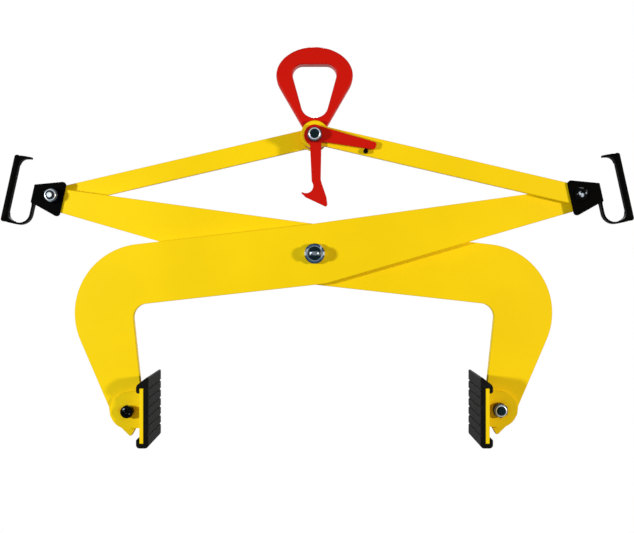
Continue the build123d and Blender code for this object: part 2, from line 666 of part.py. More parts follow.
def left_jaw_nut():
    """The jaw pivot's self-locking nut, behind."""
    return facing(LEFT_JAW, JAW_NUT_SEAT, forward=False) * lock_nut()


def left_jaw_washer():
    """The washer under the jaw pivot's nut."""
    return flat_washer(LEFT_JAW, EAR_REAR_FAR)


# Assembly: all but the hook and the handle cheeks look the same after half a turn about the vertical axis
def assembly():
    """Every piece under its node name: one solid, or a list of separate solids."""
    link = right_link()
    arm = blank_arm()
    nodes = {
        "lifting_eye": lifting_eye(),
        "eye_thrust_washers": eye_thrust_washers(),
        "top_bolt": top_bolt(),
        "top_nut": top_nut(),
        "top_washers": top_washers(),
        "right_link": tapped_for_stop(link),
        "left_link": opposite(link),
        "locking_hook": locking_hook(),
        "hook_stop_screw": hook_stop_screw(),
        "front_arm": with_centre_bore(arm, RUNNING_PLAY),
        "rear_arm": with_centre_bore(opposite(arm), SEATED_PLAY),
        "centre_bolt": centre_bolt(),
        "centre_collar": centre_collar(),
        "centre_washer": centre_washer(),
        "arm_thrust_washer": arm_thrust_washer(),
    }
    flared = handle_cheek(CHEEK_INNER_TOP, CHEEK_INNER_BOTTOM)
    straight = handle_cheek(CHEEK_BACK_TOP, CHEEK_BACK_BOTTOM)
    nodes["right_handle_strap"] = right_handle_strap(flared, straight)
    nodes["left_handle_strap"] = opposite(right_handle_strap(straight, flared))
    handle = {
        "handle_grip": right_handle_grip() - nodes["right_handle_strap"],
        "handle_bolt": right_handle_bolt(),
        "handle_nut": right_handle_nut(),
        "handle_washers": right_handle_washers(),
    }
    jaw = {
        "jaw_bracket": left_jaw_bracket(),
        "jaw_pad": left_jaw_pad(),
        "jaw_bolt": left_jaw_bolt(),
        "jaw_nut": left_jaw_nut(),
        "jaw_washer": left_jaw_washer(),
    }
    for name, piece in handle.items():
        nodes["right_" + name] = piece
        nodes["left_" + name] = turned(piece)
    for name, piece in jaw.items():
        nodes["left_" + name] = piece
        nodes["right_" + name] = turned(piece)
    return nodes


def turned(piece):
    """The opposite piece, or the list of opposite pieces."""
    if isinstance(piece, list):
        return [opposite(solid) for solid in piece]
    return opposite(piece)


os.makedirs("parts", exist_ok=True)
for node, piece in assembly().items():
    solids = piece if isinstance(piece, list) else [piece]
    export_step(Compound(children=solids) if len(solids) > 1 else solids[0], f"parts/{node}.step")
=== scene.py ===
import json
from math import pi, radians

import bmesh
import bpy
import numpy as np
from bpy.props import FloatProperty, FloatVectorProperty, IntProperty, PointerProperty
from bpy.types import Operator, Panel, PropertyGroup
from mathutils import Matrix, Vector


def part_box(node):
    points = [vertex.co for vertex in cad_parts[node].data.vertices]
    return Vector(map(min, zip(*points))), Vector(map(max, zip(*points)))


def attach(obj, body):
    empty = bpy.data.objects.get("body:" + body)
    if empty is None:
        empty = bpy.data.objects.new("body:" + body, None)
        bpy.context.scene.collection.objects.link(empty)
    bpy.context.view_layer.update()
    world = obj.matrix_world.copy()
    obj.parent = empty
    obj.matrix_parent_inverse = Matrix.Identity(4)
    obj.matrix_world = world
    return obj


bl_info = {
    "name": "Block Lifting Clamp",
    "version": (1, 0, 0),
    "blender": (4, 5, 0),
    "location": "View3D > Sidebar > Clamp",
    "description": "Finishes, welds, bolt threads and nut inserts of a scissor clamp, and its stage",
    "category": "Object",
}

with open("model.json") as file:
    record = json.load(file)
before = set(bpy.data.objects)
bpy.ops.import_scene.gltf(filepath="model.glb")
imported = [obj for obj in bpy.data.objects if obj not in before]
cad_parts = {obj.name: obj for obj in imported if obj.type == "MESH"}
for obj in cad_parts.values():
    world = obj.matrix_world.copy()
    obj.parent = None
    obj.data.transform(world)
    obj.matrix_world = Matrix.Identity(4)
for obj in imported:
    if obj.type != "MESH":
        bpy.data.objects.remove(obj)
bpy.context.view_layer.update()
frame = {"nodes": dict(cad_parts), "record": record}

# Reaches from a pivot's axis, in metres: where a band of a finish starts to change, and where it has changed.
# They bound the old grease and painted shade around pivots, the painted shade on a nut's thread and rim, and
# the painted highlight and painted shade on the collar's rim
GRIME_AND_SHADE_END = (0.0105, 0.0185)
NUT_THREAD_START = (0.003, 0.0042)
NUT_THREAD_END = (0.0058, 0.0064)
NUT_RIM = (0.0086, 0.0094)
COLLAR_HIGHLIGHT = (0.0112, 0.0122)
COLLAR_RIM = (0.0128, 0.0136)

# The same for the stripe of painted highlight, up and down from its middle
HIGHLIGHT_STRIPE = (0.0016, 0.0036)

# What old grease and the orange painted shade around pivots leave of red, green and blue
GRIME_AND_SHADE_TINT = (0.8, 0.45, 0.4)

# Points closer than this are merged, in metres, and edges sharper than this stay sharp
MERGE_DISTANCE = 1e-7
SHARP_ANGLE = radians(40)

# Rows and columns of each piece's grid
THREAD_GRID = (56, 80)
INSERT_GRID = (72, 12)
FLOOR_GRID = (24, 64)
WELD_ROWS_PER_SCALE = 20
WELD_COLUMNS = 12

# Shares of a thread's rows at which its cylinder, its bevel and its flat end start, and where that ends
THREAD_CORNERS = (0.0, 0.6, 0.8, 1.0)

# A nut insert in halves of its width: its middle from the bolt, and its crown above the nut
INSERT_MIDDLE = 1.1
INSERT_CROWN = 0.25

# A weld's scales: how far each bows forward, in radians of its ripple, and a valley's share of the leg
SCALE_BOW = 0.8
SCALE_VALLEY = 0.86

# Width of the camera's sensor, in millimetres
SENSOR_WIDTH = 36.0

# Each pivot fastener: its bolt, its nut and the body that carries them
FASTENERS = [
    ("top_bolt", "top_nut", "left_link"),
    ("left_handle_bolt", "left_handle_nut", "rear_arm"),
    ("right_handle_bolt", "right_handle_nut", "front_arm"),
    ("left_jaw_bolt", "left_jaw_nut", "left_jaw"),
    ("right_jaw_bolt", "right_jaw_nut", "right_jaw"),
]


# Colours

def from_screen(red, green, blue):
    """A linear colour from the 0 to 255 values seen on a screen, by the sRGB curve."""
    share = np.array([red, green, blue]) / 255
    linear = np.where(share <= 0.04045, share / 12.92, ((share + 0.055) / 1.055) ** 2.4)
    return tuple(float(value) for value in linear)


def shaded(colour, share):
    """A colour at a share of its brightness."""
    return tuple(share * value for value in colour)


def soiled_and_shaded(colour):
    """A colour browned by old grease and turned orange as painted shade."""
    return tuple(share * value for share, value in zip(GRIME_AND_SHADE_TINT, colour))


# What the frame says of its nodes

def middle(node):
    """The middle of a node's box."""
    low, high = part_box(node)
    return (np.array(low) + np.array(high)) / 2


def nut_side(bolt, nut):
    """1 where a bolt's nut is at the back, -1 where it is in front."""
    return 1.0 if middle(nut)[1] > middle(bolt)[1] else -1.0


def reach_along_y(node, side):
    """How far a node reaches along Y on one side."""
    return max(side * corner[1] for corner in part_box(node))


def pivot_axes():
    """The X and Z of every pivot axis, the centre pivot among them."""
    bolts = [bolt for bolt, _, _ in FASTENERS] + ["centre_bolt"]
    places = [middle(bolt) for bolt in bolts]
    return [(float(place[0]), float(place[2])) for place in places]


def slot_of(node):
    """The material slot of the record that a CAD node takes."""
    return next(part["material_slot"] for part in frame["record"]["subparts"] if part["node"] == node)


def in_slot(slot):
    """The CAD nodes that take a material slot of the record."""
    return [node for node in frame["nodes"] if slot_of(node) == slot]


def finish_of(node):
    """The finish that a CAD node wears."""
    return frame["nodes"][node].material_slots[0].material


# Shader maths

class Wire:
    """A value that runs through a node tree: arithmetic on wires and numbers adds Math nodes."""

    def __init__(self, graph, socket):
        self.graph = graph
        self.socket = socket

    def math(self, operation, *values):
        """Adds a Math node on wires and numbers."""
        return self.graph.node("ShaderNodeMath", {"operation": operation}, dict(enumerate(values)))

    def __add__(self, other):
        return self.math("ADD", self, other)

    def __sub__(self, other):
        return self.math("SUBTRACT", self, other)

    def __rsub__(self, other):
        return self.math("SUBTRACT", other, self)

    def __mul__(self, other):
        return self.math("MULTIPLY", self, other)

    def __abs__(self):
        return self.math("ABSOLUTE", self)

    def lesser(self, other):
        return self.math("MINIMUM", self, other)

    def greater(self, other):
        return self.math("MAXIMUM", self, other)

    def wave(self):
        return self.math("SINE", self)

    __radd__ = __add__
    __rmul__ = __mul__


class Graph:
    """A node tree that one method fills."""

    def __init__(self, tree):
        self.tree = tree
        self.tree.nodes.clear()

    def node(self, kind, settings, inputs, output=0):
        """Adds a node: its settings first, then a number, colour or wire for each named socket."""
        node = self.tree.nodes.new(kind)
        for key, value in settings.items():
            setattr(node, key, value)
        for key, value in inputs.items():
            if isinstance(value, Wire):
                self.tree.links.new(value.socket, node.inputs[key])
            else:
                node.inputs[key].default_value = value
        return Wire(self, node.outputs[output]) if node.outputs else None

    def shown(self):
        """1 where something is seen, mirrored or looked at through glass, 0 where it only sends light on."""
        rays = ("Is Camera Ray", "Is Glossy Ray", "Is Transmission Ray")
        seen, mirrored, through = [self.node("ShaderNodeLightPath", {}, {}, ray) for ray in rays]
        return seen.greater(mirrored).greater(through)


class Finish(Graph):
    """A procedural material on the piece's own coordinates."""

    def __init__(self, name):
        self.material = bpy.data.materials.new(name)
        self.material.use_nodes = True
        super().__init__(self.material.node_tree)
        self.place = self.node("ShaderNodeTexCoord", {}, {}, "Object")
        self.normal = self.node("ShaderNodeTexCoord", {}, {}, "Normal")

    def noise(self, scale, detail, stretch=(1.0, 1.0, 1.0)):
        """Cloudy values around a half; stretch packs the clouds closer along an axis."""
        place = self.node("ShaderNodeMapping", {}, {"Vector": self.place, "Scale": stretch})
        return self.node("ShaderNodeTexNoise", {}, {"Vector": place, "Scale": scale, "Detail": detail})

    def band(self, value, low, high):
        """Rises smoothly from 0 to 1 while a value goes from low to high."""
        steps = {"Value": value, "From Min": low, "From Max": high}
        return self.node("ShaderNodeMapRange", {"interpolation_type": "SMOOTHSTEP"}, steps)

    def patches(self, scale, detail, low, high, stretch=(1.0, 1.0, 1.0)):
        """Clouds cut down to patches: 0 where they are under low, 1 where they are over high."""
        return self.band(self.noise(scale, detail, stretch), low, high)

    def mix(self, share, first, second):
        """Blends two colours."""
        pair = [value if isinstance(value, Wire) else (*value, 1.0) for value in (first, second)]
        return self.node("ShaderNodeMix", {"data_type": "RGBA"}, {0: share, 6: pair[0], 7: pair[1]}, 2)

    def facing(self):
        """1 on faces square to the Y axis, 0 on the flanks of plates and nuts."""
        return abs(self.node("ShaderNodeSeparateXYZ", {}, {0: self.normal}, "Y"))

    def level_with(self, height):
        """1 at a height, 0 a few millimetres above and below it."""
        place = self.node("ShaderNodeSeparateXYZ", {}, {0: self.place}, "Z")
        return 1 - self.band(abs(place - height), *HIGHLIGHT_STRIPE)

    def pivot_distance(self):
        """How far a point is from the nearest pivot axis, in metres."""
        flat = self.node("ShaderNodeVectorMath", {"operation": "MULTIPLY"}, {0: self.place, 1: (1, 0, 1)})
        nearest = None
        for x, z in pivot_axes():
            ends = {0: flat, 1: (x, 0, z)}
            gap = self.node("ShaderNodeVectorMath", {"operation": "DISTANCE"}, ends, "Value")
            nearest = gap if nearest is None else nearest.lesser(gap)
        return nearest

    def surface(self, colour, roughness, height, depth, **sockets):
        """Ends the finish in one shader whose normal follows a height map of the given depth in metres."""
        bump = self.node("ShaderNodeBump", {}, {"Strength": 1.0, "Distance": depth, "Height": height})
        inputs = {"Base Color": colour, "Roughness": roughness, "Normal": bump}
        inputs.update({name.replace("_", " "): value for name, value in sockets.items()})
        shader = self.node("ShaderNodeBsdfPrincipled", {}, inputs)
        self.node("ShaderNodeOutputMaterial", {}, {"Surface": shader})
        return self.material


# Finishes

def turning_marks(reach, density):
    """Fine rings around a pivot's axis, as a lathe leaves them."""
    return (reach * density).wave()


def paint(name, colour, bare, wear, gloss):
    """Sprayed paint: slight tone changes, orange peel, fine scuffs, old grease with orange painted shade
    around pivots, and a few chipped edges.
    """
    finish = Finish(name)
    facing = finish.facing()
    edge = finish.band(facing, low=0.25, high=0.6) * (1 - finish.band(facing, low=0.82, high=0.97))
    intact = 0.72 - 0.12 * wear
    worn = edge * finish.patches(scale=190.0, detail=9.0, low=intact, high=intact + 0.04)
    # Old grease and painted shade: patches of an orange-brown ring around each pivot, where stacked parts
    # cast shade
    around = 1 - finish.band(finish.pivot_distance(), *GRIME_AND_SHADE_END)
    grime_and_shade = around * finish.patches(scale=90.0, detail=5.0, low=0.35, high=0.7)
    strokes = finish.patches(scale=1.0, detail=4.0, low=0.68, high=0.74, stretch=(16.0, 60.0, 520.0))
    scuffs = strokes * finish.patches(scale=6.0, detail=2.0, low=0.5, high=0.62)
    tone = finish.patches(scale=7.0, detail=4.0, low=0.3, high=0.7)
    coat = finish.mix(tone, shaded(colour, 0.94), colour)
    coat = finish.mix(scuffs * 0.14, coat, shaded(colour, 0.7))
    coat = finish.mix(grime_and_shade * 0.6, coat, soiled_and_shaded(colour))
    base = finish.mix(worn, coat, bare)
    clouds = finish.noise(scale=35.0, detail=4.0)
    roughness = 0.34 + 0.1 * clouds + 0.2 * grime_and_shade + 0.12 * scuffs + 0.15 * worn
    orange_peel = finish.noise(scale=620.0, detail=2.0)
    height = orange_peel - worn * 2 - scuffs * 0.4
    metallic = worn * 0.8
    return finish.surface(base, roughness, height, depth=0.00005, Metallic=metallic, Specular_IOR_Level=gloss)


def zinc(name, colour, shade_colour, straw):
    """Zinc plating: a bright ring on the face of a nut, flanks, rim and thread darkened as painted shade, and
    straw clouds.
    """
    finish = Finish(name)
    reach = finish.pivot_distance()
    flank = 1 - finish.band(finish.facing(), low=0.5, high=0.75)
    thread = finish.band(reach, *NUT_THREAD_START) * (1 - finish.band(reach, *NUT_THREAD_END))
    rim = finish.band(reach, *NUT_RIM)
    clouds = finish.patches(scale=130.0, detail=3.0, low=0.4, high=0.66)
    smudge = finish.noise(scale=180.0, detail=5.0)
    base = finish.mix(clouds * 0.5, colour, straw)
    # Painted shade: flanks, thread and rim go to the dark shade colour
    base = finish.mix(flank.greater(thread).greater(rim) * (0.88 + 0.24 * smudge), base, shade_colour)
    height = turning_marks(reach, density=14000.0) * 0.2 + smudge
    return finish.surface(base, 0.16 + 0.24 * smudge, height, depth=0.00002, Metallic=1.0)


def blued_steel(name, colour, bright, bright_reach, highlight_height):
    """Blued steel: a dark blue skin with random bright arcs, its outer rim darkened as painted shade, its
    inner edge lighter as a painted reflection, and a painted highlight on its rim at the centre bolt's
    height.
    """
    finish = Finish(name)
    reach = finish.pivot_distance()
    # Painted reflection: the skin goes half way to bright along the inner edge
    inner = 1 - finish.band(reach, low=bright_reach, high=1.06 * bright_reach)
    # Painted highlight: a bright stripe on the rim at the centre bolt's height, where lamp glints fall
    rim = finish.level_with(highlight_height) * finish.band(reach, *COLLAR_HIGHLIGHT)
    arcs = finish.patches(scale=150.0, detail=4.0, low=0.54, high=0.66, stretch=(1.0, 0.3, 0.6))
    rub_and_highlight = rim.greater(arcs * 0.8)
    # Painted shade: the outer rim darkened
    skin = finish.mix(finish.band(reach, *COLLAR_RIM), colour, shaded(colour, 0.3))
    base = finish.mix(rub_and_highlight.greater(inner * 0.5), skin, bright)
    roughness = 0.14 + 0.2 * finish.noise(scale=200.0, detail=4.0)
    height = turning_marks(reach, density=11000.0) * 0.3 + rub_and_highlight
    return finish.surface(base, roughness, height, depth=0.00003, Metallic=1.0)


def dark_steel(name, colour, bright, highlight_height):
    """Oiled steel: nearly black and smooth, with bright spots in a stripe at the height where the hook slides
    across it, partly wear and partly a painted highlight.
    """
    finish = Finish(name)
    spots = finish.patches(scale=300.0, detail=3.0, low=0.36, high=0.58)
    # Painted highlight, partly wear: bright spots in a level stripe across the bolt's end
    rub_and_highlight = finish.level_with(highlight_height) * spots
    base = finish.mix(rub_and_highlight * 0.35, colour, bright)
    roughness = 0.22 + 0.12 * finish.noise(scale=150.0, detail=4.0)
    height = turning_marks(finish.pivot_distance(), density=9000.0) * 0.15 + rub_and_highlight * 0.4
    return finish.surface(base, roughness, height, depth=0.00002, Metallic=1.0)


def black_steel(name, colour, bright, bright_spots_from):
    """Black oxide on forged steel: a thin dark skin with shallow dents, bright in spots that are partly worn
    steel and partly painted highlights.
    """
    finish = Finish(name)
    dents = finish.noise(scale=300.0, detail=2.0)
    # Bright spots: partly worn steel, partly painted highlights where glints fall
    rub_and_highlight = finish.patches(scale=130.0, detail=1.0, low=bright_spots_from, high=bright_spots_from + 0.1)
    base = finish.mix(rub_and_highlight * 0.9, colour, bright)
    roughness = 0.16 + 0.12 * dents
    return finish.surface(base, roughness, dents, depth=0.0004, Metallic=rub_and_highlight, Specular_IOR_Level=0.03)


def moulded_grip(name, colour, dust):
    """Moulded plastic: a fine pebbled grain with a little dust in it."""
    finish = Finish(name)
    pebbles = finish.node("ShaderNodeTexVoronoi", {}, {"Vector": finish.place, "Scale": 900.0}, "Distance")
    dusty = finish.patches(scale=45.0, detail=6.0, low=0.52, high=0.82)
    base = finish.mix(dusty * 0.04, colour, dust)
    roughness = 0.5 + 0.2 * dusty
    return finish.surface(base, roughness, pebbles, depth=0.00015, Specular_IOR_Level=0.012)


def pad_rubber(name, colour, dust):
    """Moulded rubber: dull black, stone dust in patches on it, and a fine grain."""
    finish = Finish(name)
    grain = finish.noise(scale=800.0, detail=3.0)
    patches = finish.patches(scale=38.0, detail=8.0, low=0.5, high=0.72)
    dusty = patches * finish.patches(scale=420.0, detail=4.0, low=0.4, high=0.7)
    base = finish.mix(dusty * 0.18, colour, dust)
    roughness = 0.66 + 0.2 * dusty + 0.1 * grain
    return finish.surface(base, roughness, grain, depth=0.0001, Specular_IOR_Level=0.05)


def nylon(name, colour):
    """Lock nut insert: waxy nylon with faint clouds."""
    finish = Finish(name)
    clouds = finish.noise(scale=300.0, detail=3.0)
    base = finish.mix(clouds * 0.5, colour, shaded(colour, 0.5))
    return finish.surface(base, 0.35 + 0.2 * clouds, clouds, depth=0.00004, Specular_IOR_Level=0.3)


def floor_paper(name, colour, solid_reach, faded_reach):
    """Pale paper that is seen fading out towards its rim, and that sends little light on to the clamp."""
    finish = Finish(name)
    shown = finish.shown()
    grain = finish.noise(scale=60.0, detail=4.0)
    base = finish.mix(grain * 0.2, colour, shaded(colour, 0.96))
    base = finish.mix(shown, shaded(colour, 0.1), base)
    reach = finish.node("ShaderNodeVectorMath", {"operation": "LENGTH"}, {0: finish.place}, "Value")
    kept = 1 - shown * finish.band(reach, low=solid_reach, high=faded_reach)
    roughness = 0.8 + 0.1 * grain
    return finish.surface(base, roughness, grain, depth=0.0001, Alpha=kept, Specular_IOR_Level=0.0)


def dress(nodes, material):
    """Gives a finish to CAD nodes."""
    for node in nodes:
        slots = frame["nodes"][node].data.materials
        slots.clear()
        slots.append(material)


# Meshes of new pieces

def grid_faces(rows, columns, rows_close):
    """Four-cornered faces of a grid whose columns close on themselves, and its rows too if asked."""
    row = np.arange(rows if rows_close else rows - 1)[:, None]
    column = np.arange(columns)[None, :]
    above = (row + 1) % rows
    beside = (column + 1) % columns
    corners = [(row, column), (row, beside), (above, beside), (above, column)]
    places = [line * columns + place for line, place in corners]
    return np.stack(np.broadcast_arrays(*places), axis=-1).reshape(-1, 4)


def grid_mesh(name, points, rows_close=False):
    """A mesh on a grid of points: doubled points merged, faces turned outwards, sharp corners kept."""
    rows, columns, _ = points.shape
    mesh = bpy.data.meshes.new(name)
    mesh.from_pydata(points.reshape(-1, 3).tolist(), [], grid_faces(rows, columns, rows_close).tolist())
    work = bmesh.new()
    work.from_mesh(mesh)
    bmesh.ops.remove_doubles(work, verts=work.verts, dist=MERGE_DISTANCE)
    bmesh.ops.recalc_face_normals(work, faces=work.faces)
    work.to_mesh(mesh)
    work.free()
    mesh.shade_smooth()
    mesh.set_sharp_from_angle(angle=SHARP_ANGLE)
    return mesh


def add_piece(mesh, body, material):
    """Puts a mesh in the scene as a piece that rides on a body."""
    piece = bpy.data.objects.new(mesh.name, mesh)
    bpy.context.collection.objects.link(piece)
    mesh.materials.append(material)
    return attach(piece, body)


# Settings

class ClampFinishes(PropertyGroup):
    """Colours and wear of the clamp's finishes."""
    yellow: FloatVectorProperty(
        name="Yellow", description="Paint on arms, links and brackets", subtype="COLOR",
        default=from_screen(247, 212, 8))
    red: FloatVectorProperty(
        name="Red", description="Paint on the lifting eye and the hook", subtype="COLOR",
        default=from_screen(200, 18, 4))
    black: FloatVectorProperty(
        name="Black", description="Paint on the handle straps, and blackened bolts", subtype="COLOR",
        default=from_screen(4, 4, 4))
    plastic: FloatVectorProperty(
        name="Plastic", description="Moulded grips", subtype="COLOR", default=from_screen(4, 4, 4))
    rubber: FloatVectorProperty(
        name="Rubber", description="Jaw pads", subtype="COLOR", default=from_screen(10, 10, 10))
    steel: FloatVectorProperty(
        name="Steel", description="Bare metal where a coat has gone", subtype="COLOR",
        default=from_screen(120, 112, 100))
    # Also the bright colour of the painted highlights and painted reflections on steel
    zinc: FloatVectorProperty(
        name="Zinc", description="Faces of plated nuts and washers", subtype="COLOR",
        default=from_screen(184, 196, 208))
    # Painted shade on plated nuts and washers: the dark colour of their flanks, rims and threads
    zinc_shade: FloatVectorProperty(
        name="Dull zinc", description="Sides and rims of plated nuts and washers", subtype="COLOR",
        default=from_screen(22, 28, 42))
    straw: FloatVectorProperty(
        name="Straw", description="Tint in the plating", subtype="COLOR", default=from_screen(200, 192, 160))
    oiled: FloatVectorProperty(
        name="Oiled steel", description="Centre bolt, top bolt and right jaw bolt", subtype="COLOR",
        default=from_screen(18, 34, 38))
    blued: FloatVectorProperty(
        name="Blued steel", description="Collar nut of the centre bolt", subtype="COLOR",
        default=from_screen(56, 84, 114))
    dust: FloatVectorProperty(
        name="Dust", description="Stone dust on rubber and plastic", subtype="COLOR",
        default=from_screen(92, 88, 82))
    nylon: FloatVectorProperty(
        name="Nylon", description="Inserts of the lock nuts", subtype="COLOR",
        default=from_screen(24, 40, 78))
    wear: FloatProperty(
        name="Wear", description="How much paint is chipped off the edges", subtype="FACTOR",
        min=0.0, max=1.0, default=0.3)
    gloss: FloatProperty(
        name="Gloss", description="How strongly the yellow and red paint mirrors", subtype="FACTOR",
        min=0.0, max=1.0, default=0.1)
    black_gloss: FloatProperty(
        name="Black gloss", description="How strongly the black paint mirrors", subtype="FACTOR",
        min=0.0, max=1.0, default=0.01)
    # Painted reflection: how far the lighter ring on the collar nut's inner edge reaches
    collar_bright: FloatProperty(
        name="Bright collar", description="Reach of the bright ring on the centre bolt's collar nut",
        unit="LENGTH", default=0.0106)


class ClampDetails(PropertyGroup):
    """Sizes of the pieces added to the clamp."""
    bolt_radius: FloatProperty(
        name="Bolt radius", description="Radius of the pivot bolts", unit="LENGTH", default=0.006)
    bolt_bevel: FloatProperty(
        name="Bolt bevel", description="Bevel at the end of a bolt", unit="LENGTH", default=0.0012)
    thread_pitch: FloatProperty(
        name="Thread pitch", description="Advance of the thread in one turn", unit="LENGTH", default=0.00175)
    thread_height: FloatProperty(
        name="Thread height", description="How far the ridge stands off the bolt", unit="LENGTH",
        default=0.0003)
    thread_skin: FloatProperty(
        name="Thread skin", description="Gap that keeps the thread clear of the bolt under it", unit="LENGTH",
        default=0.00004)
    insert_width: FloatProperty(
        name="Insert width", description="Radial width of a nut's insert", unit="LENGTH", default=0.0009)
    ear_front: FloatProperty(
        name="Front ear", description="Y of the left jaw's front ear", unit="LENGTH", default=-0.0175)
    ear_rear: FloatProperty(
        name="Rear ear", description="Y of the left jaw's rear ear", unit="LENGTH", default=0.0055)
    plate_back: FloatProperty(
        name="Plate back", description="Jaw plate's back from the jaw bolt", unit="LENGTH", default=0.0225)
    weld_leg: FloatProperty(
        name="Weld leg", description="Size of the weld beside an ear", unit="LENGTH", default=0.0036)
    weld_low: FloatProperty(
        name="Weld foot", description="Lower end of a weld from the jaw bolt", unit="LENGTH", default=-0.023)
    weld_high: FloatProperty(
        name="Weld head", description="Upper end of a weld from the jaw bolt", unit="LENGTH", default=0.028)
    weld_scales: IntProperty(
        name="Weld scales", description="Ripples along one weld", min=4, default=26)


class ClampStage(PropertyGroup):
    """Camera, lamps and floor."""
    camera_distance: FloatProperty(
        name="Camera distance", description="From the clamp's middle plane", unit="LENGTH", default=1.3)
    camera_x: FloatProperty(
        name="Camera X", description="Sideways place of the camera", unit="LENGTH", default=0.0035)
    camera_z: FloatProperty(
        name="Camera Z", description="Height of the camera", unit="LENGTH", default=-0.29242)
    lens: FloatProperty(
        name="Lens", description="Focal length", unit="CAMERA", default=50.7)
    lamp_distance: FloatProperty(
        name="Lamp distance", description="From the clamp's axis to each lamp", unit="LENGTH", default=2.2)
    lamp_turn: FloatProperty(
        name="Lamp angle", description="Sideways from the camera to each lamp", subtype="ANGLE",
        default=radians(48))
    lamp_rise: FloatProperty(
        name="Lamp rise", description="Front lamps above the camera", unit="LENGTH", default=0.1)
    back_rise: FloatProperty(
        name="Back lamp rise", description="Back lamp above the camera", unit="LENGTH", default=1.2)
    lamp_size: FloatProperty(
        name="Lamp size", description="Side of each square lamp", unit="LENGTH", default=0.2)
    left_power: FloatProperty(
        name="Left lamp", description="Power of the left lamp", unit="POWER", default=33.5)
    right_power: FloatProperty(
        name="Right lamp", description="Power of the right lamp", unit="POWER", default=29.0)
    back_power: FloatProperty(
        name="Back lamp", description="Power of the lamp behind the clamp", unit="POWER", default=50.0)
    cool: FloatVectorProperty(
        name="Cool", description="Tint of the left lamp", subtype="COLOR", default=(0.96, 1.0, 1.0))
    warm: FloatVectorProperty(
        name="Warm", description="Tint of the right lamp", subtype="COLOR", default=(1.0, 0.88, 0.76))
    white: FloatVectorProperty(
        name="White", description="Tint of the back lamp", subtype="COLOR", default=(1.0, 1.0, 1.0))
    world_level: FloatProperty(
        name="World level", description="Light from all round", min=0.0, default=0.2)
    paper: FloatVectorProperty(
        name="Paper", description="Floor", subtype="COLOR", default=(0.93, 0.93, 0.93))
    floor_drop: FloatProperty(
        name="Floor", description="Floor below the eye's seat", unit="LENGTH", default=1.1)
    floor_reach: FloatProperty(
        name="Floor reach", description="Radius of the floor", unit="LENGTH", default=3.0)
    floor_solid: FloatProperty(
        name="Floor solid", description="Reach up to which the floor is seen whole", unit="LENGTH",
        default=0.7)
    floor_faded: FloatProperty(
        name="Floor faded", description="Reach at which the floor is out of sight", unit="LENGTH",
        default=1.35)


# Steps

class CLAMP_OT_paint_plates(Operator):
    """Paints the arms, links and jaw brackets yellow"""
    bl_idname = "clamp.paint_plates"
    bl_label = "Paint Plates"

    def execute(self, context):
        look = context.scene.clamp_finishes
        plate_paint = paint("yellow_plate_paint", look.yellow, look.steel, look.wear, look.gloss)
        dress(in_slot("yellow_paint"), plate_paint)
        return {"FINISHED"}


class CLAMP_OT_paint_eye_and_hook(Operator):
    """Paints the lifting eye and the locking hook red"""
    bl_idname = "clamp.paint_eye_and_hook"
    bl_label = "Paint Eye and Hook"

    def execute(self, context):
        look = context.scene.clamp_finishes
        eye_paint = paint("red_eye_paint", look.red, look.steel, look.wear, look.gloss)
        dress(in_slot("red_paint"), eye_paint)
        return {"FINISHED"}


class CLAMP_OT_finish_handles(Operator):
    """Paints the handle straps black and gives the grips their plastic"""
    bl_idname = "clamp.finish_handles"
    bl_label = "Finish Handles"

    def execute(self, context):
        look = context.scene.clamp_finishes
        strap_paint = paint("black_strap_paint", look.black, look.steel, look.wear, look.black_gloss)
        dress(in_slot("black_paint"), strap_paint)
        dress(in_slot("black_grip"), moulded_grip("grip_plastic", look.plastic, look.dust))
        return {"FINISHED"}


class CLAMP_OT_finish_pads(Operator):
    """Gives the jaw pads their rubber"""
    bl_idname = "clamp.finish_pads"
    bl_label = "Finish Pads"

    def execute(self, context):
        look = context.scene.clamp_finishes
        dress(in_slot("rubber"), pad_rubber("pad_rubber", look.rubber, look.dust))
        return {"FINISHED"}


class CLAMP_OT_plate_fasteners(Operator):
    """Plates nuts and washers with zinc, blues the collar nut, and blackens or oils the bolts"""
    bl_idname = "clamp.plate_fasteners"
    bl_label = "Plate Fasteners"

    def execute(self, context):
        look = context.scene.clamp_finishes
        # Height of the painted highlight stripes on the centre bolt and its collar nut
        highlight_height = float(middle("centre_bolt")[2])
        plating = zinc("zinc_plating", look.zinc, look.zinc_shade, look.straw)
        collar = blued_steel("blued_collar", look.blued, look.zinc, look.collar_bright, highlight_height)
        oxide = black_steel("black_oxide", look.black, look.zinc, bright_spots_from=0.58)
        # The stop screw gets fewer of the bright spots, partly painted highlights
        fewer_spots_oxide = black_steel("fewer_spots_black_oxide", look.black, look.zinc, bright_spots_from=0.78)
        oiled = dark_steel("oiled_steel", look.oiled, look.zinc, highlight_height)
        dress(in_slot("zinc"), plating)
        dress(["centre_collar"], collar)
        dress(in_slot("black_steel"), oxide)
        dress(["hook_stop_screw"], fewer_spots_oxide)
        dress(in_slot("dark_steel") + ["right_jaw_bolt"], oiled)
        return {"FINISHED"}


